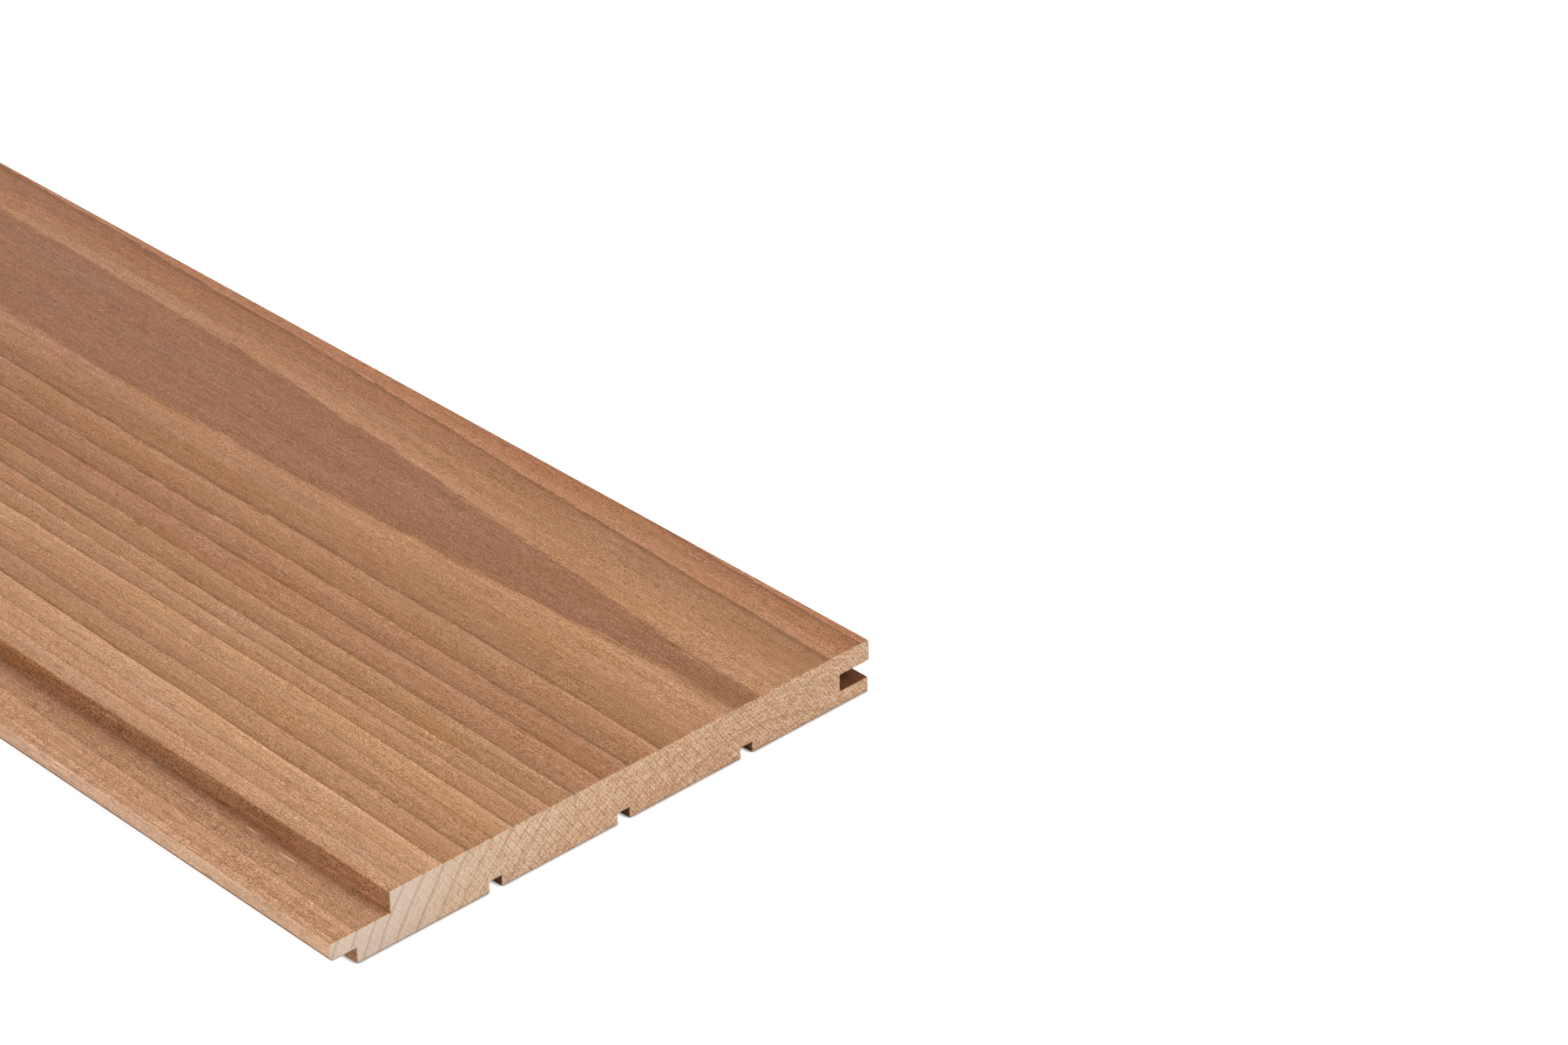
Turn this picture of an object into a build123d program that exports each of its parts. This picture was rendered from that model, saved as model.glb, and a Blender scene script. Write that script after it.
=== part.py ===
from build123d import *
import os

# A tongue-and-groove wall panelling board, planed from one piece of heat-treated hardwood.
# The board lies on its back with its face up. X runs along the grain, Y across the face from
# the tongue to the groove, and Z from the back to the face. The origin is the middle of the
# board's footprint, on the floor. All sizes are in millimetres.

# Stock
board_length = 2100
thickness = 15
body_width = 167  # from the tongue's shoulder to the end of the face lip

# Tongue side: the rebate leaves a wide shadow gap beside the neighbour's face lip
tongue_length = 8
tongue_thickness = 4.7
rebate_depth = 6  # from the face down to the top of the tongue
shadow_floor = 10.5  # from the tongue's shoulder to the wall of the rebate
tongue_tip_radius = 1.1  # lower corner of the tip, which leads into the groove
tongue_edge_radius = 0.5  # upper corner of the tip

# Groove side: the slot takes the tongue of the next board
fit_above = 0.1  # between the tongue and the face lip
fit_below = 0.3  # between the tongue and the back lip
groove_depth = 10.2  # from the end of the face lip to the bottom of the slot
groove_corner_radius = 0.8
back_lip_setback = 0.3  # the back lip ends this much short of the face lip
lip_chamfer = 0.7  # eases the lower edge of the face lip

# Relief grooves milled along the back, which keep the board flat
relief_count = 3
relief_pitch = 41
relief_width = 4
relief_depth = 3
relief_corner_radius = 0.5

# The planed edges of the face are lightly eased
arris_radius = 0.4

# Places across the section, measured from its middle, and heights above the back
overall_width = tongue_length + body_width
tip_y = -overall_width / 2
shoulder_y = tip_y + tongue_length
rebate_wall_y = shoulder_y + shadow_floor
lip_end_y = shoulder_y + body_width
groove_bottom_y = lip_end_y - groove_depth
body_middle_y = (shoulder_y + lip_end_y) / 2

tongue_top_z = thickness - rebate_depth
tongue_bottom_z = tongue_top_z - tongue_thickness
groove_top_z = tongue_top_z + fit_above
groove_floor_z = tongue_bottom_z - fit_below

LOW_LEFT = (Align.MIN, Align.MIN)
LOW_RIGHT = (Align.MAX, Align.MIN)


def corner(sketch, y, z):
    """The corner of the flat section nearest to a place across the width and a height."""
    return sketch.vertices().sort_by_distance((y, z))[0]


with BuildPart() as panel_board:
    with BuildSketch(Plane.YZ) as section:
        # the planed blank, as wide as the board with its tongue
        with Locations((tip_y, 0)):
            Rectangle(overall_width, thickness, align=LOW_LEFT)

        # the rebate in the face and the step in the back leave the tongue between them
        with Locations((tip_y, tongue_top_z)):
            Rectangle(tongue_length + shadow_floor, rebate_depth, align=LOW_LEFT, mode=Mode.SUBTRACT)
        with Locations((tip_y, 0)):
            Rectangle(tongue_length, tongue_bottom_z, align=LOW_LEFT, mode=Mode.SUBTRACT)

        # the groove, and the back lip trimmed shorter than the face lip
        with Locations((lip_end_y, groove_floor_z)):
            Rectangle(groove_depth, groove_top_z - groove_floor_z, align=LOW_RIGHT, mode=Mode.SUBTRACT)
        with Locations((lip_end_y, 0)):
            Rectangle(back_lip_setback, groove_floor_z, align=LOW_RIGHT, mode=Mode.SUBTRACT)

        # the relief grooves, spaced about the middle of the back
        with Locations((body_middle_y, relief_depth / 2)):
            with GridLocations(relief_pitch, 0, relief_count, 1):
                Rectangle(relief_width, relief_depth, mode=Mode.SUBTRACT)

        # the rounded and eased corners that the cutters leave
        relief_roofs = section.vertices().filter_by_position(Axis.Y, relief_depth, relief_depth)
        fillet(relief_roofs, relief_corner_radius)
        groove_corners = section.vertices().filter_by_position(Axis.X, groove_bottom_y, groove_bottom_y)
        fillet(groove_corners, groove_corner_radius)
        fillet(corner(section, tip_y, tongue_bottom_z), tongue_tip_radius)
        fillet(corner(section, tip_y, tongue_top_z), tongue_edge_radius)
        chamfer(corner(section, lip_end_y, groove_top_z), lip_chamfer)
        fillet(corner(section, rebate_wall_y, thickness), arris_radius)
        fillet(corner(section, lip_end_y, thickness), arris_radius)
    extrude(amount=board_length / 2, both=True)

panel_board.part.label = "panel_board"
os.makedirs("parts", exist_ok=True)
export_step(panel_board.part, "parts/panel_board.step")
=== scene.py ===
# %% [markdown]
# # A heat-treated hardwood panelling board
# This lesson dresses one wall panelling board. The board is planed from a single piece of
# light hardwood that was baked brown in a kiln, and it has a tongue along one edge, a wide
# shadow-gap rebate, a groove along the other edge, and three relief grooves in its back.
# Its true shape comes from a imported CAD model, which is loaded first and never moved. Here
# the same section is modelled again with finer rounding, and then it gets its wood: a solid
# pattern of growth rings that runs through the whole board, so that the lines on the face,
# in the rebate and on the sawn end all belong to one tree.

# %% Load the frame
import math

import bmesh
import bpy
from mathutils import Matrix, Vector


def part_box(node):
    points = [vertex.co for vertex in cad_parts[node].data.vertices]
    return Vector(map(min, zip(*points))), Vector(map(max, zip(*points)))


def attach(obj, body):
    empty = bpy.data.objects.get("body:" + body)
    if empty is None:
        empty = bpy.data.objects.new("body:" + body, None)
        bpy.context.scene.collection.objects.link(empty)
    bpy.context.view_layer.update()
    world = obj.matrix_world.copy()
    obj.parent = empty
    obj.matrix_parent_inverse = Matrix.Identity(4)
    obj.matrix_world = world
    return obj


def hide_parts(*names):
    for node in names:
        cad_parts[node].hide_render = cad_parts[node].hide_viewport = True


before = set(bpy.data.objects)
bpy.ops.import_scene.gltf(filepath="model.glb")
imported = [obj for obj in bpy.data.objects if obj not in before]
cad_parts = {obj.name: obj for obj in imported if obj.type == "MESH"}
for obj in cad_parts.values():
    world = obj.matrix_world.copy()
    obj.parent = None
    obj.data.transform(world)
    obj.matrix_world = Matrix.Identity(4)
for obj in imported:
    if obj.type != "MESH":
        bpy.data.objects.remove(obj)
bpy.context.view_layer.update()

board_low, board_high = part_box("panel_board")
MM = 0.001
print("board, mm:", [round(side / MM, 2) for side in board_high - board_low])

# %% [markdown]
# ## The section
# The real board is run through a moulder, whose cutters leave the same section all along its
# length. The length, width and thickness are read from the CAD node. The steps inside them are
# written here in millimetres, each once, and every place across the section follows from them.

# %% Sizes of the section
tongue_length = 8 * MM
shoulder_to_wall = 10.5 * MM  # from the tongue's shoulder to the wall of the rebate
rebate_depth = 6 * MM
tongue_thickness = 4.7 * MM
groove_depth = 10.2 * MM
groove_above_tongue = 0.1 * MM  # the slot is this much taller than the tongue above it
groove_below_tongue = 0.3 * MM
back_lip_setback = 0.3 * MM
relief_numbers = (-1, 0, 1)  # the relief grooves, counted from the tongue side
relief_pitch = 41 * MM
relief_width = 4 * MM
relief_depth = 3 * MM

arris_radius = 0.4 * MM
tongue_tip_radius = 1.1 * MM
tongue_edge_radius = 0.5 * MM
groove_corner_radius = 0.8 * MM
relief_corner_radius = 0.5 * MM
lip_chamfer = 0.7 * MM
sawn_edge_break = 0.22 * MM  # the end is sawn and its edges just rubbed over
chips = {-1: 1.2 * MM, 1: 0.7 * MM}  # knocks at the near end, by the relief groove's number

length_from, length_to = board_low.x, board_high.x
tip_y = board_low.y
shoulder_y = tip_y + tongue_length
rebate_wall_y = shoulder_y + shoulder_to_wall
lip_end_y = board_high.y
groove_bottom_y = lip_end_y - groove_depth
back_lip_y = lip_end_y - back_lip_setback
relief_middle_y = (shoulder_y + lip_end_y) / 2

face_z = board_high.z
tongue_top_z = face_z - rebate_depth
tongue_bottom_z = tongue_top_z - tongue_thickness
slot_top_z = tongue_top_z + groove_above_tongue
slot_floor_z = tongue_bottom_z - groove_below_tongue
relief_roof_z = board_low.z + relief_depth
slot_size = (groove_depth, slot_top_z - slot_floor_z)
print("slot, depth and height in mm:", [round(side / MM, 2) for side in slot_size])

# %% [markdown]
# ## Helpers for working in edit mode
# Modelling by script goes as it does by hand: select some faces or edges, then run an operator
# on them. Nothing can be clicked here, so one helper selects whatever passes a test on its
# place or direction. Two more add a loop of edges at a plane and pull selected faces out.

# %% Selecting, slicing and extruding
mostly = 0.5  # a face looks mostly one way where its normal has more than this share of it
tolerance = 0.001 * MM  # two places closer than this are the same


def select(kind, wanted):
    """Selects the faces, edges or corners in edit mode that pass the test, and nothing else."""
    bpy.ops.mesh.select_mode(type=kind)
    bpy.ops.mesh.select_all(action="DESELECT")
    mesh = bmesh.from_edit_mesh(bpy.context.object.data)
    items = {"FACE": mesh.faces, "EDGE": mesh.edges, "VERT": mesh.verts}[kind]
    chosen = [item for item in items if wanted(item)]
    for item in chosen:
        item.select_set(True)
    bmesh.update_edit_mesh(bpy.context.object.data)
    return len(chosen)


def middle(item):
    """The middle of a face or an edge."""
    return sum((corner.co for corner in item.verts), Vector()) / len(item.verts)


def near(a, b):
    """True where two places along one axis are the same."""
    return abs(a - b) < tolerance


def slice_at(point, direction, wanted):
    """Cuts the chosen faces along a plane, which leaves new edges there."""
    select("FACE", wanted)
    bpy.ops.mesh.bisect(plane_co=point, plane_no=direction)


def pull(wanted, move):
    """Extrudes the chosen faces by a vector."""
    select("FACE", wanted)
    bpy.ops.mesh.extrude_region_move(TRANSFORM_OT_translate={"value": move})


def count_faces():
    """The number of faces of the mesh in edit mode."""
    return len(bmesh.from_edit_mesh(bpy.context.object.data).faces)


# %% [markdown]
# ## The blank and its tongue
# A cutter takes wood away, but in a mesh it is easier to add. The middle of the board starts as
# a plain block, and the tongue side is pulled out of its lower half in two steps: first the
# floor of the rebate, then the tongue itself from the upper part of that.

# %% Start from a block and pull out the tongue
bpy.ops.object.select_all(action="DESELECT")
block_low = Vector((length_from, rebate_wall_y, board_low.z))
block_high = Vector((length_to, groove_bottom_y, face_z))
block_size = block_high - block_low
bpy.ops.mesh.primitive_cube_add(size=1, location=(block_low + block_high) / 2, scale=block_size)
board = bpy.context.object
board.name = "milled_board"
bpy.ops.object.transform_apply(location=True, rotation=True, scale=True)
bpy.ops.object.mode_set(mode="EDIT")

slice_at((0, 0, tongue_top_z), (0, 0, 1), lambda face: abs(face.normal.z) < mostly)
pull(
    lambda face: near(middle(face).y, rebate_wall_y) and middle(face).z < tongue_top_z,
    (0, shoulder_y - rebate_wall_y, 0),
)
slice_at((0, 0, tongue_bottom_z), (0, 0, 1), lambda face: near(middle(face).y, shoulder_y))
pull(
    lambda face: near(middle(face).y, shoulder_y) and middle(face).z > tongue_bottom_z,
    (0, tip_y - shoulder_y, 0),
)
print("block and tongue, faces:", count_faces())

# %% [markdown]
# ## The two lips of the groove
# The groove could be cut with a Boolean. Pulling out the face lip and the shorter back lip on
# either side of it gives the same slot, with clean faces and no leftover edges.

# %% Pull out the lips
for level in (slot_top_z, slot_floor_z):
    slice_at((0, 0, level), (0, 0, 1), lambda face: near(middle(face).y, groove_bottom_y))
pull(
    lambda face: near(middle(face).y, groove_bottom_y) and middle(face).z > slot_top_z,
    (0, lip_end_y - groove_bottom_y, 0),
)
pull(
    lambda face: near(middle(face).y, groove_bottom_y) and middle(face).z < slot_floor_z,
    (0, back_lip_y - groove_bottom_y, 0),
)
print("with both lips, faces:", count_faces())

# %% [markdown]
# ## Relief grooves in the back
# Three shallow grooves let the board lie flat when the back dries faster than the face. Each is
# opened by slicing the back and both ends, deleting what the cutter would take, and bridging the
# two open U shapes at the ends, which makes the walls and the roof in one go.


# %% Open each groove and bridge its walls
def relief_walls(number):
    """Where across the board the two walls of a relief groove stand."""
    groove_middle = relief_middle_y + number * relief_pitch
    return groove_middle - relief_width / 2, groove_middle + relief_width / 2


def on_end(face):
    """True for a face of either end."""
    return abs(face.normal.x) > mostly


def on_end_or_back(face):
    """True for a face of either end or of the back."""
    return on_end(face) or face.normal.z < -mostly


def on_open_end(edge):
    """True for an edge of the opening that lies in one of the ends."""
    return edge.is_boundary and abs(edge.verts[0].co.x - edge.verts[1].co.x) < MM


def open_relief(number):
    """Cuts one relief groove into the back, from end to end."""
    near_wall, far_wall = relief_walls(number)
    for wall in (near_wall, far_wall):
        slice_at((0, wall, 0), (0, 1, 0), on_end_or_back)

    def within(face):
        return near_wall < middle(face).y < far_wall

    def taken(face):
        return within(face) and middle(face).z < relief_roof_z and on_end_or_back(face)

    slice_at((0, 0, relief_roof_z), (0, 0, 1), lambda face: on_end(face) and within(face))
    select("FACE", taken)
    bpy.ops.mesh.delete(type="FACE")
    print("groove", number, "open edges:", select("EDGE", on_open_end))
    bpy.ops.mesh.bridge_edge_loops()


for number in relief_numbers:
    open_relief(number)

# %% [markdown]
# ## Rounded and eased corners
# No cutter leaves a perfectly sharp corner, and the light that a small round catches is what
# makes an edge look real. The leftover edges on flat faces are dissolved first, so that each
# corner of the section is one long edge, and then each long edge is bevelled by its own radius.


# %% Bevel the long edges
def long_edge_at(y, z):
    """A test for the edge that runs along the board at one place in the section."""
    return lambda edge: (
        all(near(corner.co.y, y) and near(corner.co.z, z) for corner in edge.verts)
        and not near(edge.verts[0].co.x, edge.verts[1].co.x)
    )


select("FACE", lambda face: True)
bpy.ops.mesh.dissolve_limited(angle_limit=math.radians(1))

corners = [  # place across the board and up, radius, and number of segments
    (rebate_wall_y, face_z, arris_radius, 4),
    (lip_end_y, face_z, arris_radius, 4),
    (tip_y, tongue_bottom_z, tongue_tip_radius, 6),
    (tip_y, tongue_top_z, tongue_edge_radius, 4),
    (groove_bottom_y, slot_top_z, groove_corner_radius, 5),
    (groove_bottom_y, slot_floor_z, groove_corner_radius, 5),
    (lip_end_y, slot_top_z, lip_chamfer, 1),
]
for number in relief_numbers:
    for wall in relief_walls(number):
        corners.append((wall, relief_roof_z, relief_corner_radius, 4))

for y, z, radius, segments in corners:
    found = select("EDGE", long_edge_at(y, z))
    bpy.ops.mesh.bevel(offset=radius, offset_type="OFFSET", segments=segments, profile=0.5)
    print("corner at y", round(y / MM, 1), "z", round(z / MM, 1), "edges", found)

# %% [markdown]
# ## Two knocked corners
# Where a relief groove meets the sawn end, only a thin corner of wood is left on each side, and
# two of those corners were knocked off in handling. A bevel of one vertex cuts off such a corner.

# %% Knock off two corners at the near end
for number, size in chips.items():
    wall = relief_walls(number)[0]
    corner = Vector((length_to, wall, board_low.z))
    found = select("VERT", lambda vertex: (vertex.co - corner).length < tolerance)
    bpy.ops.mesh.bevel(offset=size, offset_type="OFFSET", segments=3, affect="VERTICES")
    print("knocked corner at y", round(wall / MM, 1), "vertices", found)

# %% [markdown]
# ## The sawn ends
# The board was cut to length with a fine saw. Its end edges are crisp, but the fibres there are
# crushed a little, which shows as a thin pale line. A very small bevel round each end face
# gives that line a surface of its own.


# %% Break the edges of both ends
def round_an_end(edge):
    """True for an edge of the outline of either end face."""
    return any(
        all(near(corner.co.x, end) for corner in edge.verts) for end in (length_from, length_to)
    )


select("EDGE", round_an_end)
bpy.ops.mesh.bevel(offset=sawn_edge_break, offset_type="OFFSET", segments=2, profile=0.5)
bpy.ops.mesh.select_all(action="SELECT")
bpy.ops.mesh.normals_make_consistent(inside=False)
bpy.ops.object.mode_set(mode="OBJECT")
bpy.ops.object.shade_smooth_by_angle(angle=math.radians(35))
print("faces", len(board.data.polygons))

# %% [markdown]
# ## Colours and a helper for nodes
# Colours are written as the sRGB hex values that an eye sees, and one function turns them into
# the linear values that shaders work in. One more adds a node: its own settings go in by name,
# and its inputs are filled from values or from the nodes before it.


# %% Colour and node helpers
def srgb(code):
    """Linear colour of a hex code such as #A06030."""
    channels = [int(code[place : place + 2], 16) / 255 for place in (1, 3, 5)]
    linear = [c / 12.92 if c <= 0.04045 else ((c + 0.055) / 1.055) ** 2.4 for c in channels]
    return (*linear, 1.0)


def add(tree, kind, inputs=None, **settings):
    """Adds a node. An input is named or numbered among those in use, and takes a value or a link."""
    node = tree.nodes.new(kind if kind.startswith("Node") else "ShaderNode" + kind)
    for name, value in settings.items():
        setattr(node, name, value)
    in_use = [socket for socket in node.inputs if socket.enabled]
    for key, value in (inputs or {}).items():
        socket = in_use[key] if isinstance(key, int) else next(s for s in in_use if s.name == key)
        if isinstance(value, bpy.types.Node):
            value = next(s for s in value.outputs if s.enabled)
        if isinstance(value, bpy.types.NodeSocket):
            tree.links.new(value, socket)
        else:
            socket.default_value = value
    return node


def set_stops(ramp, stops, interpolation="LINEAR"):
    """Fills a colour ramp with (place, colour) stops, in order."""
    ramp.interpolation = interpolation
    while len(ramp.elements) > 1:
        ramp.elements.remove(ramp.elements[-1])
    ramp.elements[0].position, ramp.elements[0].color = stops[0]
    for place, colour in stops[1:]:
        ramp.elements.new(place).color = colour


def empty_tree(owner):
    """The node tree of a material or a world, cleared."""
    owner.use_nodes = True
    owner.node_tree.nodes.clear()
    return owner.node_tree


print("mid grey is", round(srgb("#808080")[0], 3), "in linear light")

# %% [markdown]
# ## The tree inside the board
# A tree adds one sleeve of wood each year. Cut lengthwise near the outside, those sleeves show
# as straight lines at the edges of a board and as a long pointed arch in the middle, where the
# saw runs along a sleeve; cut across, they show as arcs. All of that comes from one idea: the
# distance of a point from the tree's pith. The widths, tones and contrasts of the years are
# chosen one by one, as they show on the face.

# %% Years of growth, from the inside out
PALE, SAND, CREAM, HONEY = "#D29F78", "#CA9772", "#CA966D", "#C08C65"
TAN, ROSE, BROWN, DUSK = "#BA8860", "#BA865F", "#B7825D", "#9E6C4B"
years = [  # width in mm, tone of the early wood, and how far it darkens by the end of the year
    (9.0, TAN, 0.5), (7.0, BROWN, 0.6), (6.5, TAN, 0.6), (6.0, DUSK, 0.2),
    (6.3, HONEY, 0.5), (7.8, DUSK, 0.15), (5.5, ROSE, 1.0), (4.5, ROSE, 1.0),
    (4.5, BROWN, 0.95), (5.2, BROWN, 0.8), (5.3, TAN, 0.95), (3.7, HONEY, 0.9),
    (4.3, HONEY, 0.9), (4.9, CREAM, 0.7), (5.8, HONEY, 0.9), (5.9, HONEY, 0.9),
    (5.4, PALE, 0.75), (5.1, SAND, 0.6), (4.0, SAND, 0.5), (5.0, TAN, 0.4),
    (5.3, CREAM, 0.4), (5.5, CREAM, 0.4), (6.0, HONEY, 0.2), (6.0, HONEY, 0.2),
]
first_year_radius = 29.5  # mm, where the list starts
all_years_width = sum(width for width, tone, depth in years)
year_turns = 0.985  # after this part of a year its tone turns into the next year's
print("years", len(years), "reaching", first_year_radius + all_years_width, "mm")

# %% [markdown]
# ## The pith and the uneven sleeves
# The arcs on the near end point to a pith about 57 mm below the back, under the groove side.
# No tree is straight, so the pith is a line that wanders along the board. It sinks a little
# towards the near end, and that is what narrows the dark arch on the face there. The sleeves
# round it aren't perfect either, so noise of four sizes pushes the wood about: a wide
# wandering, slow waves, ripples, and the feathered edge of a year.

# %% Path of the pith, and how uneven the sleeves are
pith_at_end = Vector((0, 45.4, -57.05))  # mm, in the plane of the near end
pith_swing, pith_climb = 12, 12  # mm, the most that it wanders to each side, and upwards
# along the board: mm from the near end, how far the pith wanders towards the groove and
# up, in mm, and how light the years are drawn there
pith_path = [
    (0, 0.0, 0.14, 1.0), (12, 0.3, 0.14, 1.0), (30, 0.7, 0.18, 1.0),
    (65, 1.4, 0.45, 0.99), (135, 2.8, 1.15, 0.95), (215, 4.4, 1.9, 0.9),
    (290, 5.8, 2.1, 0.88), (450, 7.4, 2.6, 0.9), (700, 4.0, 1.2, 0.95),
    (1000, -2.0, 4.5, 1.0), (1350, -9.0, 9.5, 0.93), (1700, -4.0, 7.0, 0.96),
    (2100, 3.0, 11.5, 1.0),
]
path_end = pith_path[-1][0]
darkest = min(light for at, y, z, light in pith_path)
# size along, across and through the board, reach and detail of the noise, and the distances
# from the near end between which it grows, all in mm but the detail
unevenness = [
    ((600, 110, 110), (0, 8, 4), 1, (250, 1100)),
    ((85, 16, 16), (0, 2.2, 0.5), 2, (-1, 0)),
    ((26, 1.6, 1.6), (0, 0.8, 0.3), 1, (-40, 100)),
    ((9, 0.4, 0.4), (0, 0.3, 1.2), 1, (-40, 220)),
]
print("pith path, points", len(pith_path), "darkest", darkest)


# %% Follow the pith and shake the sleeves
def follow_pith(tree, from_end):
    """The pith's place beside each point of the board, in mm, and how light the years are drawn there."""
    share = add(tree, "Math", {0: from_end, 1: path_end}, operation="DIVIDE")
    # one ramp holds three curves: red is the swing, green the climb and blue the lightness
    curves = add(tree, "ValToRGB", {0: share})
    stops = [
        (at / path_end, (0.5 + y / pith_swing / 2, z / pith_climb, light, 1))
        for at, y, z, light in pith_path
    ]
    set_stops(curves.color_ramp, stops, "CARDINAL")
    swing, climb, lightness = add(tree, "SeparateColor", {0: curves}).outputs
    low, high = pith_at_end.y - pith_swing, pith_at_end.y + pith_swing
    pith_y = add(tree, "MapRange", {"Value": swing, "To Min": low, "To Max": high})
    low, high = pith_at_end.z, pith_at_end.z + pith_climb
    pith_z = add(tree, "MapRange", {"Value": climb, "To Min": low, "To Max": high})
    return add(tree, "CombineXYZ", {"Y": pith_y, "Z": pith_z}), lightness


def shake_sleeves(tree, place, in_log, from_end):
    """Places in the log, each moved a little by the noises above."""
    for size, reach, detail, grows in unevenness:
        scaled = add(tree, "VectorMath", {0: place, 1: size}, operation="DIVIDE")
        noise = add(tree, "TexNoise", {"Vector": scaled, "Scale": 1, "Detail": detail})
        centred = add(
            tree, "VectorMath", {0: noise.outputs["Color"], 1: (0.5, 0.5, 0.5)}, operation="SUBTRACT"
        )
        shift = add(tree, "VectorMath", {0: centred, 1: reach}, operation="MULTIPLY")
        amount = add(
            tree,
            "MapRange",
            {"Value": from_end, "From Min": grows[0], "From Max": grows[1]},
            interpolation_type="SMOOTHSTEP",
        )
        shift = add(tree, "VectorMath", {0: shift, "Scale": amount}, operation="SCALE")
        in_log = add(tree, "VectorMath", {0: in_log, 1: shift}, operation="ADD")
    return in_log


# %% [markdown]
# ## From a distance to a year
# A shader can't read a list, so the list of years is written into two colour ramps. The first
# turns the distance from the pith into a count of years, by their widths. The second has steps:
# it gives the tone of each year as its colour, and how far that year darkens as its alpha.


# %% Count the years and look them up
def count_years(tree, radius):
    """The years that lie inside a radius, counted by their widths, with the part of the last."""
    last_year_radius = first_year_radius + all_years_width
    share = add(
        tree,
        "MapRange",
        {"Value": radius, "From Min": first_year_radius, "From Max": last_year_radius},
    )
    stops, reached = [(0.0, (0, 0, 0, 1))], 0
    for number, (width, tone, depth) in enumerate(years, 1):
        reached += width
        stops.append((reached / all_years_width, (number / len(years),) * 3 + (1,)))
    count = add(tree, "ValToRGB", {0: share})
    set_stops(count.color_ramp, stops)
    return add(tree, "Math", {0: count, 1: len(years)}, operation="MULTIPLY")


def look_up(tree, whole_year, ahead):
    """The tone of a year, or of one that lies ahead of it, with its depth as the alpha."""
    spot = add(
        tree,
        "Math",
        {0: whole_year, 1: 1 / len(years), 2: (ahead + 0.5) / len(years)},
        operation="MULTIPLY_ADD",
    )
    character = add(tree, "ValToRGB", {0: spot})
    stops = [
        (number / len(years), (*srgb(tone)[:3], depth))
        for number, (width, tone, depth) in enumerate(years)
    ]
    set_stops(character.color_ramp, stops, "CONSTANT")
    return character


# %% [markdown]
# ## One group for the whole log
# Every finish of this board shows the same wood, so the rings are one node group that all the
# materials share. It gives each point its place in the log, in square and in polar coordinates,
# the time of the year in which it grew, and the tone of that year. It reads Object coordinates,
# so the wood stays fixed in the board.

# %% Rings as a node group
polar_ring = 100  # mm, places around the log are measured on a ring of this radius


def grow_timber():
    """A group with places in the log, the year's phase, tone and depth, and the lightness."""
    tree = bpy.data.node_groups.new("timber", "ShaderNodeTree")
    for kind, name in (
        ("Vector", "Place"), ("Vector", "Polar"), ("Float", "Phase"),
        ("Color", "Tone"), ("Float", "Depth"), ("Float", "Lightness"),
    ):
        tree.interface.new_socket(name, in_out="OUTPUT", socket_type=f"NodeSocket{kind}")

    position = add(tree, "TexCoord").outputs["Object"]
    place = add(tree, "VectorMath", {0: position, "Scale": 1 / MM}, operation="SCALE")
    along = add(tree, "SeparateXYZ", {0: place}).outputs["X"]
    from_end = add(tree, "Math", {0: length_to / MM, 1: along}, operation="SUBTRACT")
    pith, lightness = follow_pith(tree, from_end)
    in_log = add(tree, "VectorMath", {0: place, 1: pith}, operation="SUBTRACT")
    in_log = shake_sleeves(tree, place, in_log, from_end)

    across = add(tree, "VectorMath", {0: in_log, 1: (0, 1, 1)}, operation="MULTIPLY")
    radius = add(tree, "VectorMath", {0: across}, operation="LENGTH").outputs["Value"]
    x, y, z = add(tree, "SeparateXYZ", {0: in_log}).outputs
    angle = add(tree, "Math", {0: y, 1: z}, operation="ARCTAN2")
    around = add(tree, "Math", {0: angle, 1: polar_ring}, operation="MULTIPLY")
    polar = add(tree, "CombineXYZ", {"X": x, "Y": around, "Z": radius})

    # the tone of this year turns into the next year's over the last part of it
    year = count_years(tree, radius)
    phase = add(tree, "Math", {0: year}, operation="FRACT")
    whole_year = add(tree, "Math", {0: year}, operation="FLOOR")
    this_year, next_year = (look_up(tree, whole_year, ahead) for ahead in (0, 1))
    turn = add(
        tree,
        "MapRange",
        {"Value": phase, "From Min": year_turns, "From Max": 1},
        interpolation_type="SMOOTHSTEP",
    )
    tone = add(tree, "Mix", {"Factor": turn, "A": this_year, "B": next_year}, data_type="RGBA")

    outputs = {"Place": in_log, "Polar": polar, "Phase": phase, "Tone": tone}
    outputs.update({"Depth": this_year.outputs["Alpha"], "Lightness": lightness})
    add(tree, "NodeGroupOutput", outputs)
    return tree


timber = grow_timber()
print("timber group, nodes", len(timber.nodes))

# %% [markdown]
# ## Patterns of the long grain
# Heat-treated hardwood is warm brown right through, darker towards the end of each year and
# palest just after it. Along the grain it has clouds, streaks and thin layers of several sizes,
# fine fibres and short pores. All of them are noise: the place in the log is divided by a size
# in millimetres, longest along the grain, and that is the size of the noise's lumps. A fibre is
# really some 0.03 mm wide and a pore 0.1 mm, too fine to show in this picture, so fibres,
# flecks, pores and specks are drawn as coarse as they need to show. The knives of a moulder
# leave shallow ripples across the grain, 6.1 mm apart. Along the foot of the rebate's wall, its
# floor is drawn darker as painted shade.

# %% Noises, ripples and the painted shade at the foot of the wall
year_shade = [  # part of the year, and how light the wood is then
    (0.0, 1.02), (0.05, 1.03), (0.12, 0.99), (0.3, 0.91), (0.6, 0.83),
    (0.84, 0.78), (0.9, 0.71), (0.93, 0.6), (1.0, 0.6),
]
wave_repeat = 2 * math.pi / 20  # a Wave Texture of scale 1 repeats at this distance
ripple_pitch = 6.1  # mm
# painted shade on the rebate's floor along the foot of its wall
foot_reach = 4 * MM  # how far the dark foot of the rebate's wall spreads
most_noise = {"From Min": 0.3, "From Max": 0.7}  # nearly all of a noise lies between these


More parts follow.
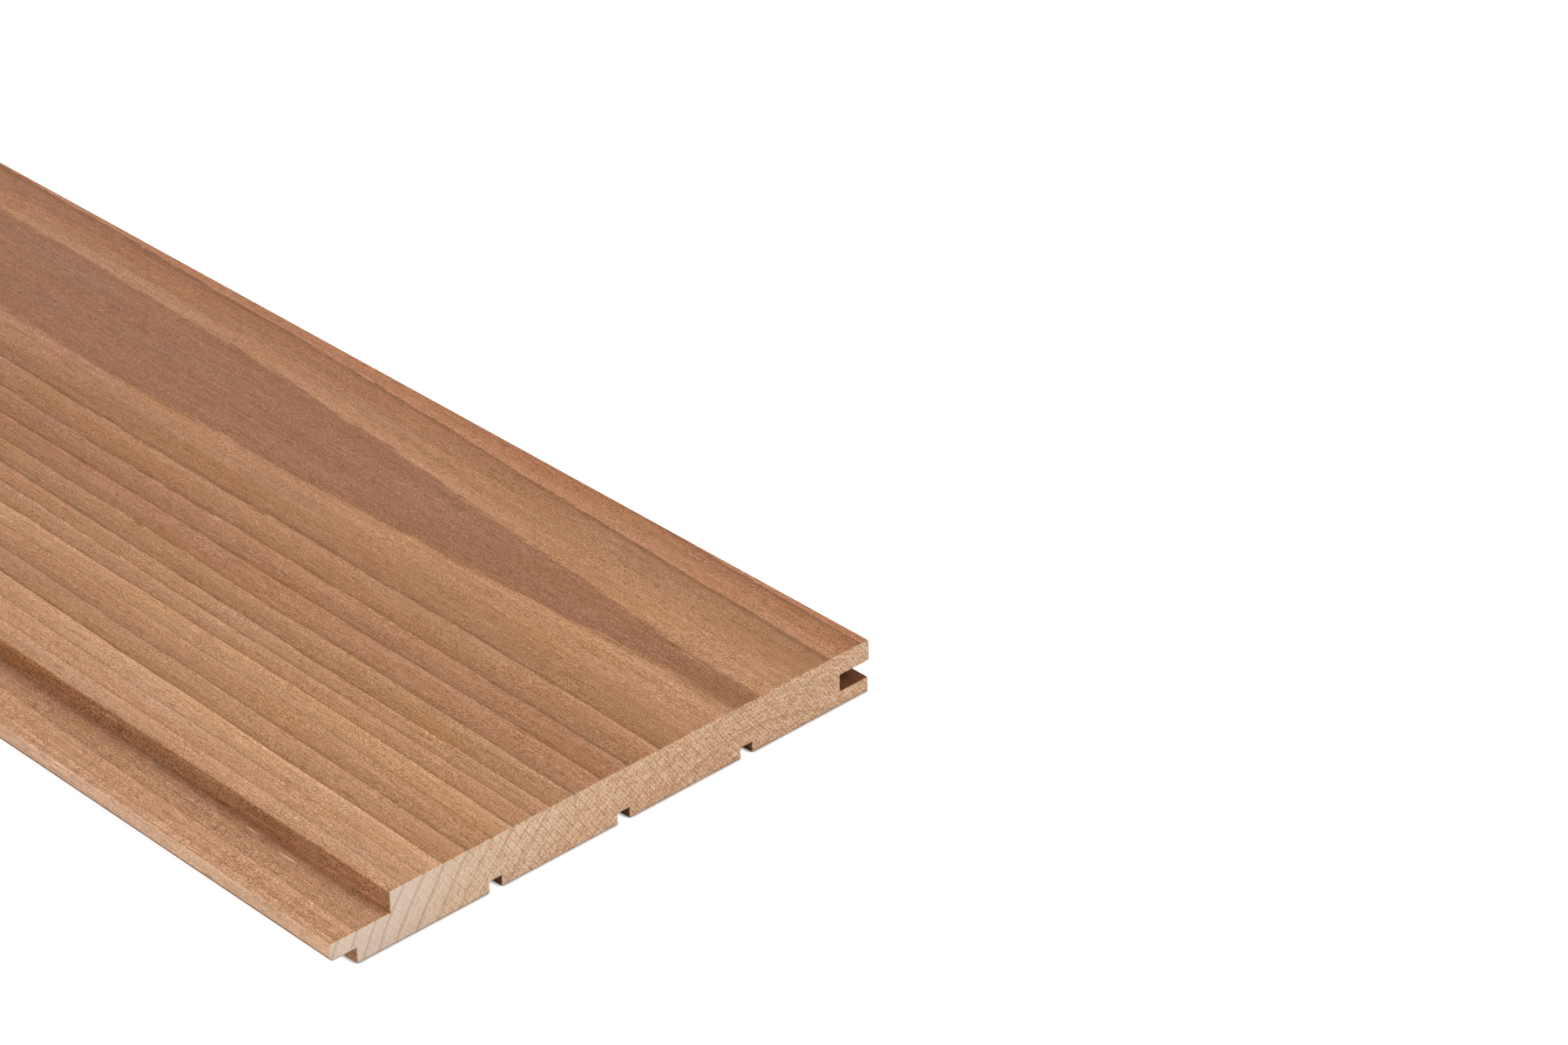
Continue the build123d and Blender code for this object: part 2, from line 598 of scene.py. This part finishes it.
def distance(tree, spot, scale):
    """How far each point of the board is from a spot, with its own scale along each axis."""
    position = add(tree, "TexCoord").outputs["Object"]
    away = add(tree, "VectorMath", {0: position, 1: spot}, operation="SUBTRACT")
    away = add(tree, "VectorMath", {0: away, 1: scale}, operation="MULTIPLY")
    return add(tree, "VectorMath", {0: away}, operation="LENGTH").outputs["Value"]


def grain_patterns(tree, log, ripple, foot_shade):
    """The patterns of the long grain by name, without those that a finish doesn't have."""
    place, polar = log.outputs["Place"], log.outputs["Polar"]
    patterns = {}
    # sizes in mm: along, across and through the board, or along, around and out of the log
    for name, space, size, detail in (
        ("clouds", place, (240, 20, 20), 2),
        ("tints", place, (60, 6, 6), 3),
        ("streaks", place, (35, 1.1, 1.1), 1),
        ("layers", polar, (90, 12, 0.6), 2),
        ("fibres", place, (7, 0.36, 0.36), 1),
        ("flecks", place, (0.5, 0.36, 0.36), 0),
        ("patches", place, (18, 5, 5), 1),
        ("pores", place, (3, 0.3, 0.3), 0),
        ("specks", place, (1, 0.5, 0.5), 0),
    ):
        scaled = add(tree, "VectorMath", {0: space, 1: size}, operation="DIVIDE")
        patterns[name] = add(tree, "TexNoise", {"Vector": scaled, "Scale": 1, "Detail": detail})

    # the flecks come in patches
    patchy = add(
        tree,
        "MapRange",
        {
            "Value": patterns["patches"], "From Min": 0.35, "From Max": 0.65,
            "To Min": 0.6, "To Max": 1.3,
        },
    )
    patterns["flecks"] = add(
        tree,
        "Mix",
        {"Factor": patchy, "A": 0.5, "B": patterns["flecks"]},
        data_type="FLOAT",
        clamp_factor=False,
    )
    if ripple:
        patterns["ripples"] = add(
            tree,
            "TexWave",
            {"Vector": place, "Scale": wave_repeat / ripple_pitch, "Distortion": 1.5},
            bands_direction="X",
        )
    # painted shade along the foot of the rebate's wall
    if foot_shade < 1:
        away = distance(tree, (0, rebate_wall_y, tongue_top_z), (0, 1, 1))
        patterns["foot_shade"] = add(tree, "MapRange", {"Value": away, "From Min": foot_reach, "From Max": 0})
    return patterns


# %% [markdown]
# ## Light and colour of the long grain
# A piece of wood varies far more in lightness than in hue, so a single value is worked out first,
# by the time of the year and then by each pattern, and the colour follows from it: darker wood is
# also deeper in colour. Two slower changes follow. The groove side came out of the kiln a little
# redder, and along the board the years are drawn darker in stretches, which are also pinker. Two
# pale slivers of torn wood lie on the floor of the rebate.

# %% How light the wood is, and what colour
redder_from, redder_to = 70 * MM, 82 * MM  # across the board
# what red, green and blue are multiplied by on the groove side, and where the board is
# lightest and darkest along its length
redder_tint = (1.01, 0.91, 0.9, 1)
light_tint, dark_tint = (1, 1, 0.985, 1), (1, 0.995, 1.03, 1)
sliver_tone = "#E8C09C"
# mm from the near end, mm from the wall, and half of the length, width and thickness in mm
floor_slivers = [(34, 3.2, (4.4, 0.4, 1)), (49, 2.1, (3.3, 0.3, 0.75))]


def grain_value(tree, log, patterns, speckle, streaky, ripple, foot_shade):
    """How light the wood is, by the time of the year and then by each pattern. One pattern is the painted
    shade at the foot of the rebate's wall.
    """
    season = add(tree, "ValToRGB", {0: log.outputs["Phase"]})
    set_stops(season.color_ramp, [(at, (light, light, light, 1)) for at, light in year_shade])
    season = add(tree, "Math", {0: season, 1: log.outputs["Lightness"]}, operation="MULTIPLY")
    value = add(tree, "Mix", {"Factor": log.outputs["Depth"], "A": 1.0, "B": season}, data_type="FLOAT")
    for name, low, high, least, most in (
        ("clouds", 0.3, 0.7, 0.96, 1.04),
        ("streaks", 0.3, 0.7, 1 - 0.06 * streaky, 1 + 0.06 * streaky),
        ("layers", 0.3, 0.7, 1 - 0.07 * streaky, 1 + 0.07 * streaky),
        ("fibres", 0.3, 0.7, 0.89, 1.11),
        ("flecks", 0.3, 0.7, 1 - 0.27 * speckle, 1 + 0.27 * speckle),
        ("ripples", 0, 1, 1 - ripple, 1 + ripple),
        # painted shade at the foot of the rebate's wall
        ("foot_shade", 0, 1, 1, foot_shade),
        ("pores", 0.62, 0.8, 1, 0.65),
        ("specks", 0.74, 0.82, 1, 1.35),
    ):
        if name in patterns:
            factor = add(
                tree,
                "MapRange",
                {
                    "Value": patterns[name], "From Min": low, "From Max": high,
                    "To Min": least, "To Max": most,
                },
            )
            value = add(tree, "Math", {0: value, 1: factor}, operation="MULTIPLY")
    return value


def grain_colour(tree, log, patterns, value, wear_and_lighting, wear_and_lighting_share, slivers):
    """The colour of the year, with a share of the colour that a cutter or a hand left on it, which in
    some finishes is also painted shade or light.
    """
    deeper = add(tree, "Math", {0: value, 1: -0.2, 2: 1.2}, operation="MULTIPLY_ADD")
    tint = add(
        tree,
        "MapRange",
        {"Value": patterns["tints"], **most_noise, "To Min": 0.965, "To Max": 1.035},
    )
    saturation = add(tree, "Math", {0: deeper, 1: tint}, operation="MULTIPLY")
    colour = log.outputs["Tone"]
    # the finish's colour: wear from a cutter or a hand, and for the burnished, scorched and rubbed
    # finishes also painted shade or light
    if wear_and_lighting_share:
        mixed = {"Factor": wear_and_lighting_share, "A": colour, "B": srgb(wear_and_lighting)}
        colour = add(tree, "Mix", mixed, data_type="RGBA")
    colour = add(tree, "HueSaturation", {"Saturation": saturation, "Value": value, "Color": colour})

    position = add(tree, "TexCoord").outputs["Object"]
    across = add(tree, "SeparateXYZ", {0: position}).outputs["Y"]
    redder = add(tree, "MapRange", {"Value": across, "From Min": redder_from, "From Max": redder_to})
    mixed = {"Factor": redder, "A": colour, "B": redder_tint}
    colour = add(tree, "Mix", mixed, data_type="RGBA", blend_type="MULTIPLY")
    lightness = log.outputs["Lightness"]
    pinker = add(tree, "MapRange", {"Value": lightness, "From Min": 1, "From Max": darkest})
    tinge = add(tree, "Mix", {"Factor": pinker, "A": light_tint, "B": dark_tint}, data_type="RGBA")
    mixed = {"Factor": 1, "A": colour, "B": tinge}
    colour = add(tree, "Mix", mixed, data_type="RGBA", blend_type="MULTIPLY")
    for from_end, from_wall, reach in slivers:
        spot = (length_to - from_end * MM, rebate_wall_y - from_wall * MM, tongue_top_z)
        away = distance(tree, spot, [1 / (part * MM) for part in reach])
        cover = add(tree, "MapRange", {"Value": away, "From Min": 1, "From Max": 0.4, "To Max": 0.9})
        mixed = {"Factor": cover, "A": colour, "B": srgb(sliver_tone)}
        colour = add(tree, "Mix", mixed, data_type="RGBA")
    return colour


# %% [markdown]
# ## Five finishes along the grain
# The whole board is one wood, but each tool left its own surface on it. The face is planed
# smooth and not polished, so it is satin. The side and back cutters leave the rebate's floor,
# the tongue, the lips and the back a little rougher and greyer, with more speckle and ripples.
# The wall of the rebate was rubbed by the side of the cutter, which burnished it brown and
# streaky, and it is drawn darker still as painted shade. In the slot, in the relief grooves, under
# the tongue and along the lower edges the wood is drawn dark and dry: partly scorched by the
# cutter, partly painted shade. The tip of the tongue is drawn pale: partly rubbed, partly painted
# light from the table. One function makes all five, because they differ only in how much of each
# pattern they have, and in their colour, gloss and relief.


# %% Materials: heat-treated hardwood, planed, milled, burnished and shaded, scorched and shaded, and rubbed and lit
def long_grain(
    name, roughness, wear_and_lighting=None, wear_and_lighting_share=0.0, speckle=1.0, streaky=1.0, ripple=0.0, foot_shade=1.0,
    shine=0.3, bump_height=0.06 * MM, slivers=(),
):
    """Wood along the grain, with what a cutter or a hand left on it, and in some finishes painted shade
    or light.
    """
    material = bpy.data.materials.new(name)
    tree = empty_tree(material)
    log = add(tree, "Group", node_tree=timber)
    patterns = grain_patterns(tree, log, ripple, foot_shade)
    value = grain_value(tree, log, patterns, speckle, streaky, ripple, foot_shade)
    colour = grain_colour(tree, log, patterns, value, wear_and_lighting, wear_and_lighting_share, slivers)

    height = add(tree, "Math", {0: patterns["fibres"], 1: patterns["flecks"]}, operation="ADD")
    bump = add(tree, "Bump", {"Strength": 0.5, "Distance": bump_height, "Height": height})
    rougher, smoother = roughness + 0.05, roughness - 0.05
    gloss = add(
        tree,
        "MapRange",
        {"Value": patterns["fibres"], **most_noise, "To Min": rougher, "To Max": smoother},
    )
    shader = add(
        tree,
        "BsdfPrincipled",
        {"Base Color": colour, "Roughness": gloss, "Specular IOR Level": shine, "Normal": bump},
    )
    add(tree, "OutputMaterial", {"Surface": shader})
    print(name, "nodes", len(tree.nodes))
    return material


planed = long_grain("heat_treated_hardwood_planed", roughness=0.55, ripple=0.008)
# the milled faces carry the painted shade at the foot of the rebate's wall
milled = long_grain(
    "heat_treated_hardwood_milled", roughness=0.65, wear_and_lighting="#C69678", wear_and_lighting_share=0.35,
    speckle=1.15, streaky=1.4, ripple=0.035, foot_shade=0.62, bump_height=0.1 * MM, slivers=floor_slivers,
)
# the rebate's wall: brown and streaky from the cutter, and drawn darker as painted shade
burnish_and_shade = long_grain(
    "heat_treated_hardwood_burnish_and_shade", roughness=0.55, wear_and_lighting="#9B643A", wear_and_lighting_share=0.6,
    speckle=1.4, streaky=2.2, ripple=0.03,
)
# dark wood in the slot, the relief grooves, under the tongue and on the lower edges: partly scorch,
# partly painted shade
scorch_and_shade = long_grain(
    "heat_treated_hardwood_scorch_and_shade", roughness=0.8, wear_and_lighting="#6E4A35", wear_and_lighting_share=0.9,
    speckle=0.8, shine=0.05,
)
# the tongue's tip: pale from rubbed fibres, and lighter still as painted light from the table's bounce
rubbed_and_lit = long_grain(
    "heat_treated_hardwood_rubbed_and_lit", roughness=0.65, wear_and_lighting="#EEC4A6", wear_and_lighting_share=0.6, speckle=0.6,
)

# %% [markdown]
# ## Sawn end grain
# Across the grain the wood is cut tubes, not long fibres. The saw tears them, so the end is dry,
# paler than the face and a little rough. The years show as thin darker arcs, clear in the outer
# wood and faint in the middle, and the innermost one is reddish. Torn rows of tubes follow the
# arcs, so they are stretched on the polar coordinates of the log. Two teeth of the blade, one
# deeper than the other, left slanting marks 0.91 and 1.82 mm apart, which are rubbed out in
# patches. The tubes are really a tenth of a millimetre wide, and their rows and pits are drawn
# coarser, so that they show.

# %% Tones, saw marks and patterns of the sawn end
end_tones = [  # mm from the pith, and the tone there
    (58, "#CCA179"), (71, "#D1A57F"), (83, "#D8AE88"), (96, "#DBB695"),
    (111, "#DFBEA0"), (120, "#DEC3AA"), (130, "#DEC8B5"), (140, "#E1CAB5"),
]
saw_mark_lean = math.radians(55)  # the blade's marks slope down towards the groove side
saw_teeth = ((0.91, 0.3), (1.82, 0.6))  # mm between a tooth's marks, and how fast they waver
# what is laid over the tones: four browns of torn and shaded wood, lit fibres, and two arcs
CLAY, OCHRE, UMBER, BARK = "#C89674", "#A27450", "#9A6B48", "#8E5E3E"
LIT, ASH, RUST = "#FADFC4", "#99806B", "#A4683F"
torn_relief = 0.15 * MM


def end_patterns(tree, place, polar):
    """The patterns of the sawn end, by name."""
    patterns = {}
    # sizes in mm: along, across and through the board, or along, around and out of the log
    for name, space, size, detail in (
        ("clouds", place, (40, 9, 9), 2),
        ("patches", place, (40, 2.5, 2.5), 2),
        ("rows", polar, (40, 3, 0.6), 1),
        ("pits", place, (1, 0.6, 0.45), 1),
    ):
        scaled = add(tree, "VectorMath", {0: space, 1: size}, operation="DIVIDE")
        patterns[name] = add(tree, "TexNoise", {"Vector": scaled, "Scale": 1, "Detail": detail})

    leaning = add(
        tree, "VectorRotate", {"Vector": place, "Angle": saw_mark_lean}, rotation_type="X_AXIS"
    )
    teeth = [
        add(
            tree,
            "TexWave",
            {
                "Vector": leaning, "Scale": wave_repeat / pitch,
                "Distortion": 2, "Detail Scale": waver,
            },
            bands_direction="Z",
        )
        for pitch, waver in saw_teeth
    ]
    saw = add(tree, "Mix", {"Factor": 0.4, "A": teeth[0], "B": teeth[1]}, data_type="FLOAT")
    kept = add(tree, "MapRange", {"Value": patterns["patches"], "From Min": 0.3, "From Max": 0.6})
    patterns["marks"] = add(tree, "Mix", {"Factor": kept, "A": 0.5, "B": saw}, data_type="FLOAT")
    return patterns


# %% Material: heat-treated hardwood, sawn end
def end_grain(name):
    """Wood across the grain, as a saw leaves it."""
    material = bpy.data.materials.new(name)
    tree = empty_tree(material)
    log = add(tree, "Group", node_tree=timber)
    place, polar, phase = (log.outputs[output] for output in ("Place", "Polar", "Phase"))
    patterns = end_patterns(tree, place, polar)
    radius = add(tree, "SeparateXYZ", {0: polar}).outputs["Z"]

    inner, outer = end_tones[0][0], end_tones[-1][0]
    outward = add(tree, "MapRange", {"Value": radius, "From Min": inner, "From Max": outer})
    colour = add(tree, "ValToRGB", {0: outward})
    stops = [((at - inner) / (outer - inner), srgb(code)) for at, code in end_tones]
    set_stops(colour.color_ramp, stops)

    # by mm from the pith: inner wood is torn more, outer arcs are clearer, and one is reddish
    torn, clear, reddish = (
        add(
            tree,
            "MapRange",
            {"Value": radius, "From Min": start, "From Max": stop, "To Min": least, "To Max": most},
        )
        for start, stop, least, most in ((128, 100, 0.25, 1), (90, 120, 0.25, 0.46), (67, 64, 0, 0.2))
    )
    for mask, low, high, most, strength, code in (
        (patterns["clouds"], 0.45, 0.7, 0.15, torn, CLAY),
        (patterns["marks"], 0.5, 0.1, 0.38, torn, OCHRE),
        (patterns["marks"], 0.5, 0.9, 0.45, torn, LIT),
        (patterns["rows"], 0.52, 0.66, 0.45, torn, UMBER),
        (patterns["rows"], 0.46, 0.34, 0.3, torn, LIT),
        (patterns["pits"], 0.47, 0.3, 0.6, torn, BARK),
        (patterns["pits"], 0.55, 0.7, 0.5, torn, LIT),
        (phase, 0.78, 0.96, 1.0, clear, ASH),
        (phase, 0.7, 0.94, 1.0, reddish, RUST),
    ):
        amount = add(tree, "MapRange", {"Value": mask, "From Min": low, "From Max": high, "To Max": most})
        amount = add(tree, "Math", {0: amount, 1: strength}, operation="MULTIPLY")
        colour = add(tree, "Mix", {"Factor": amount, "A": colour, "B": srgb(code)}, data_type="RGBA")

    height = add(tree, "Math", {0: patterns["pits"], 1: patterns["marks"]}, operation="ADD")
    bump = add(tree, "Bump", {"Strength": 0.6, "Distance": torn_relief, "Height": height})
    shader = add(
        tree,
        "BsdfPrincipled",
        {"Base Color": colour, "Roughness": 0.85, "Specular IOR Level": 0.25, "Normal": bump},
    )
    add(tree, "OutputMaterial", {"Surface": shader})
    print(name, "nodes", len(tree.nodes))
    return material


sawn = end_grain("heat_treated_hardwood_sawn_end")

# %% [markdown]
# ## Dress the board
# Each face of the mesh gets the finish of the tool that made it, or the painted shade or light
# of where it lies, told by its place in the section and by the way it looks. The new mesh stands
# for the CAD node and rides on the same body.

# %% Give each face its finish and tie the board to its body
slightly, barely = 0.2, 0.05  # shares of a face's normal, as mostly is


def finish_of(face):
    """The finish that the saw, a cutter or a hand left on a face of the board, with painted shade in its
    hollows and along its lower edges, and painted light on the tongue's tip.
    """
    along, across, down = abs(face.normal.x), abs(face.normal.y), -face.normal.z
    y, z = face.center.y, face.center.z
    in_slot = y > groove_bottom_y and z > slot_floor_z - tolerance
    if along > slightly:
        # an end's downward edge is painted shade, a dark line where it meets the table
        return scorch_and_shade if down > slightly else sawn
    if y < tip_y + tongue_tip_radius:
        # the tip's lower round is painted shade, and the rest is rubbed pale and painted light
        return scorch_and_shade if down > barely else rubbed_and_lit
    if z > face_z - arris_radius:
        return planed
    # on the rebate the floor is milled, and the wall is burnished and painted darker as shade
    if y < rebate_wall_y + MM and z > tongue_top_z:
        return milled if across < mostly else burnish_and_shade
    if near(y, shoulder_y) or y > lip_end_y - lip_chamfer:
        return milled
    # walls and roofs of the grooves, the tongue's underside and the slot are painted shade, partly scorch
    if across > slightly or (down > mostly and z > MM) or in_slot:
        return scorch_and_shade
    return milled


finishes = (planed, milled, burnish_and_shade, scorch_and_shade, rubbed_and_lit, sawn)
for finish in finishes:
    board.data.materials.append(finish)
for face in board.data.polygons:
    face.material_index = finishes.index(finish_of(face))
for number, finish in enumerate(finishes):
    print(finish.name, "faces", sum(face.material_index == number for face in board.data.polygons))
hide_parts("panel_board")
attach(board, "root")

# %% [markdown]
# ## A pale floor under a white dome
# The board lies on a white table under an even, overcast kind of light, nearly all of which
# comes from a white dome. For what the camera sees, the table is lifted to white. The board's
# shadow stays on it, and so does the thin dark line under its edges, which an Ambient Occlusion
# node of 1.5 mm reach keeps unlifted.

# %% Table and dome
table_side = 60  # metres, so that its edge is never in the picture
table_gap = 0.1 * MM  # below the back, so that the two surfaces don't flicker
contact_reach = 1.5 * MM
contact_openness = 0.55  # where less than this part of the sky is open, nothing is lifted
table_lift = 0.8
dome_light = 0.82


def seen_directly(tree):
    """1 for rays that show a surface to the camera or in a gloss, 0 for rays that carry its light."""
    ray = add(tree, "LightPath").outputs
    seen = ray["Is Camera Ray"]
    for kind in ("Is Glossy Ray", "Is Transmission Ray"):
        seen = add(tree, "Math", {0: seen, 1: ray[kind]}, operation="MAXIMUM")
    return seen


bpy.ops.object.select_all(action="DESELECT")
bpy.ops.mesh.primitive_plane_add(size=table_side, location=(0, 0, board_low.z - table_gap))
table_top = bpy.context.object
table_top.name = "table_top"
paint = bpy.data.materials.new("white_table_paint")
tree = empty_tree(paint)
sky = add(tree, "AmbientOcclusion", {"Distance": contact_reach}, samples=8).outputs["AO"]
lift = add(tree, "MapRange", {"Value": sky, "From Min": contact_openness, "To Max": table_lift})
lift = add(tree, "Math", {0: seen_directly(tree), 1: lift}, operation="MULTIPLY")
glow = add(tree, "Emission", {"Strength": lift})
coat = add(tree, "BsdfDiffuse", {"Color": srgb("#EDEDED")})
add(tree, "OutputMaterial", {"Surface": add(tree, "AddShader", {0: coat, 1: glow})})
table_top.data.materials.append(paint)

world = bpy.data.worlds.new("white_dome")
bpy.context.scene.world = world
tree = empty_tree(world)
strength = add(tree, "MapRange", {"Value": seen_directly(tree), "To Min": dome_light})
dome = add(tree, "Background", {"Color": srgb("#FFFFFF"), "Strength": strength})
add(tree, "OutputWorld", {"Surface": dome})
bpy.context.scene.view_settings.view_transform = "Standard"
print("stage:", table_top.name, "and", world.name)

# %% [markdown]
# ## One soft lamp
# A large soft lamp stands high beyond the near end, a little to the groove side. It keeps the
# sawn wood bright, and the rebate's wall and floor darker than the face.

# %% Softbox
softbox_aim = Vector((0.9, 0, 0))  # on the table under the board, near its end
softbox_direction = Vector((0.67, 0.22, 0.71)).normalized()  # from there to the lamp
softbox_distance = 3
softbox_long, softbox_short = 2.4, 1.6
softbox_watts = 19
bpy.ops.object.light_add(type="AREA", location=softbox_aim + softbox_direction * softbox_distance)
softbox = bpy.context.object
softbox.name = "softbox"
softbox.rotation_euler = (-softbox_direction).to_track_quat("-Z", "Y").to_euler()
softbox.data.shape = "RECTANGLE"
softbox.data.size, softbox.data.size_y = softbox_long, softbox_short
softbox.data.energy = softbox_watts
print(softbox.name, "at", [round(part, 2) for part in softbox.location])

# %% [markdown]
# ## The camera
# The picture looks down on the near end from its tongue corner, through a long lens, so the board
# hardly tapers. The lens, the angles and the distance were worked out from the picture: the
# board's parallel edges give the directions, and its known thickness gives the distance.

# %% Camera
aim = Vector((0.9943, 0.1115, face_z))
azimuth, elevation = math.radians(46.05), math.radians(31.21)
distance_away = 1.2733
bpy.ops.object.camera_add()
camera = bpy.context.object
camera.name = "camera"
camera.data.sensor_width = 36
camera.data.lens = 112.16
level = math.cos(elevation)
away = Vector((math.sin(azimuth) * level, -math.cos(azimuth) * level, math.sin(elevation)))
camera.location = aim + away * distance_away
camera.rotation_euler = (-away).to_track_quat("-Z", "Y").to_euler()
bpy.context.scene.camera = camera
print("camera at", [round(part, 3) for part in camera.location])
